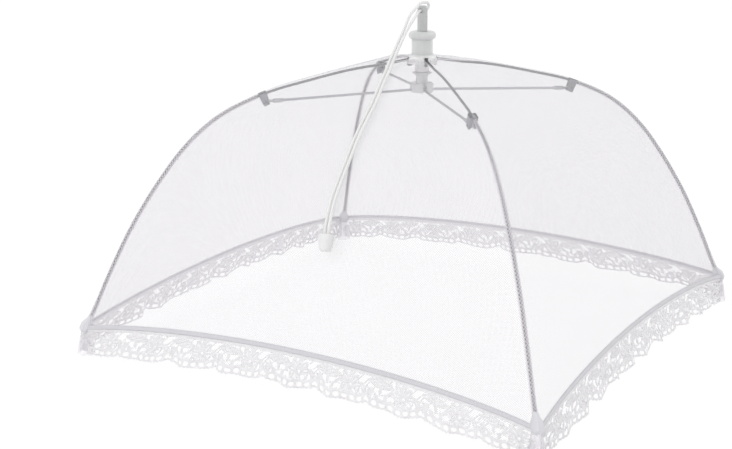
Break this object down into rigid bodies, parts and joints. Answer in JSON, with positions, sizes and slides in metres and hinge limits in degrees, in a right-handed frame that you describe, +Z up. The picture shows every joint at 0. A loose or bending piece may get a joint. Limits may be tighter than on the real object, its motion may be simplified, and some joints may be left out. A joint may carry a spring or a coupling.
{
  "type": "food cover",
  "caption": "Square folding net food cover: wire umbrella ribs and stretchers on a sliding plunger, net sides with a scalloped lace edge, and a pull cord with a knob.",
  "frame": {"origin": "middle of the open cover, on the table under its lace edge", "axes": "+Z up through the hub; the sides face -Y, +X, +Y and -X, with the pull cord on the -Y side"},
  "size_m": [0.3154, 0.3154, 0.211],
  "materials": {
    "hub_plastic": "milky translucent moulded plastic",
    "steel_wire": "drawn zinc-plated wire",
    "clip_plastic": "grey moulded plastic",
    "net": "fine see-through knitted net",
    "hem_tape": "woven binding tape",
    "pocket_cloth": "folded and sewn cloth",
    "lace": "white machine-made lace",
    "cord": "white braided cord",
    "knob_plastic": "white moulded plastic"
  },
  "bodies": {
    "top_hub": {"top_hub": "hub_plastic", "hub_ring": "steel_wire", "net_1": "net", "net_2": "net", "net_3": "net", "net_4": "net", "hem_1": "hem_tape", "hem_2": "hem_tape", "hem_3": "hem_tape", "hem_4": "hem_tape", "lace_1": "lace", "lace_2": "lace", "lace_3": "lace", "lace_4": "lace", "pull_cord": "cord"},
    "plunger": {"plunger": "hub_plastic", "runner_ring": "steel_wire"},
    "rib_1": {"rib_1": "steel_wire", "clip_1": "clip_plastic", "clip_pin_1": "steel_wire", "rib_sleeve_1": "net", "corner_pocket_1": "pocket_cloth"},
    "rib_2": {"rib_2": "steel_wire", "clip_2": "clip_plastic", "clip_pin_2": "steel_wire", "rib_sleeve_2": "net", "corner_pocket_2": "pocket_cloth"},
    "rib_3": {"rib_3": "steel_wire", "clip_3": "clip_plastic", "clip_pin_3": "steel_wire", "rib_sleeve_3": "net", "corner_pocket_3": "pocket_cloth"},
    "rib_4": {"rib_4": "steel_wire", "clip_4": "clip_plastic", "clip_pin_4": "steel_wire", "rib_sleeve_4": "net", "corner_pocket_4": "pocket_cloth"},
    "stretcher_1": {"stretcher_1": "steel_wire"},
    "stretcher_2": {"stretcher_2": "steel_wire"},
    "stretcher_3": {"stretcher_3": "steel_wire"},
    "stretcher_4": {"stretcher_4": "steel_wire"},
    "pull_knob": {"pull_knob": "knob_plastic"}
  },
  "joints": [
    {"name": "plunger_slide", "type": "slide", "parent": "top_hub", "child": "plunger", "axis": [0, 0, -1], "range_m": [0, 0.13716], "deforming": ["net_1", "net_2", "net_3", "net_4", "hem_1", "hem_2", "hem_3", "hem_4", "lace_1", "lace_2", "lace_3", "lace_4"]},
    {"name": "rib_1_hinge", "type": "hinge", "parent": "top_hub", "child": "rib_1", "pos_m": [0.00566, 0.00566, 0.17287], "axis": [-0.7071, 0.7071, 0], "range_deg": [0, 45.1]},
    {"name": "rib_2_hinge", "type": "hinge", "parent": "top_hub", "child": "rib_2", "pos_m": [-0.00566, 0.00566, 0.17287], "axis": [-0.7071, -0.7071, 0], "range_deg": [0, 45.1]},
    {"name": "rib_3_hinge", "type": "hinge", "parent": "top_hub", "child": "rib_3", "pos_m": [-0.00566, -0.00566, 0.17287], "axis": [0.7071, -0.7071, 0], "range_deg": [0, 45.1]},
    {"name": "rib_4_hinge", "type": "hinge", "parent": "top_hub", "child": "rib_4", "pos_m": [0.00566, -0.00566, 0.17287], "axis": [0.7071, 0.7071, 0], "range_deg": [0, 45.1]},
    {"name": "stretcher_1_hinge", "type": "hinge", "parent": "rib_1", "child": "stretcher_1", "pos_m": [0.06964, 0.06964, 0.15202], "axis": [0.7071, -0.7071, 0], "range_deg": [0, 103.5]},
    {"name": "stretcher_2_hinge", "type": "hinge", "parent": "rib_2", "child": "stretcher_2", "pos_m": [-0.06964, 0.06964, 0.15202], "axis": [0.7071, 0.7071, 0], "range_deg": [0, 103.5]},
    {"name": "stretcher_3_hinge", "type": "hinge", "parent": "rib_3", "child": "stretcher_3", "pos_m": [-0.06964, -0.06964, 0.15202], "axis": [-0.7071, 0.7071, 0], "range_deg": [0, 103.5]},
    {"name": "stretcher_4_hinge", "type": "hinge", "parent": "rib_4", "child": "stretcher_4", "pos_m": [0.06964, -0.06964, 0.15202], "axis": [-0.7071, -0.7071, 0], "range_deg": [0, 103.5]},
    {"name": "knob_slide", "type": "slide", "parent": "top_hub", "child": "pull_knob", "axis": [-0.0493, 0.7004, 0.7121], "range_m": [0, 0.12], "deforming": ["pull_cord"]}
  ],
  "couplings": [
    {"joint": "rib_1_hinge", "follows": "plunger_slide", "rad_per_m": 5.7263},
    {"joint": "rib_2_hinge", "follows": "plunger_slide", "rad_per_m": 5.7263},
    {"joint": "rib_3_hinge", "follows": "plunger_slide", "rad_per_m": 5.7263},
    {"joint": "rib_4_hinge", "follows": "plunger_slide", "rad_per_m": 5.7263},
    {"joint": "stretcher_1_hinge", "follows": "plunger_slide", "rad_per_m": 13.139},
    {"joint": "stretcher_2_hinge", "follows": "plunger_slide", "rad_per_m": 13.139},
    {"joint": "stretcher_3_hinge", "follows": "plunger_slide", "rad_per_m": 13.139},
    {"joint": "stretcher_4_hinge", "follows": "plunger_slide", "rad_per_m": 13.139},
    {"joint": "knob_slide", "follows": "plunger_slide", "ratio": 0.87337}
  ]
}
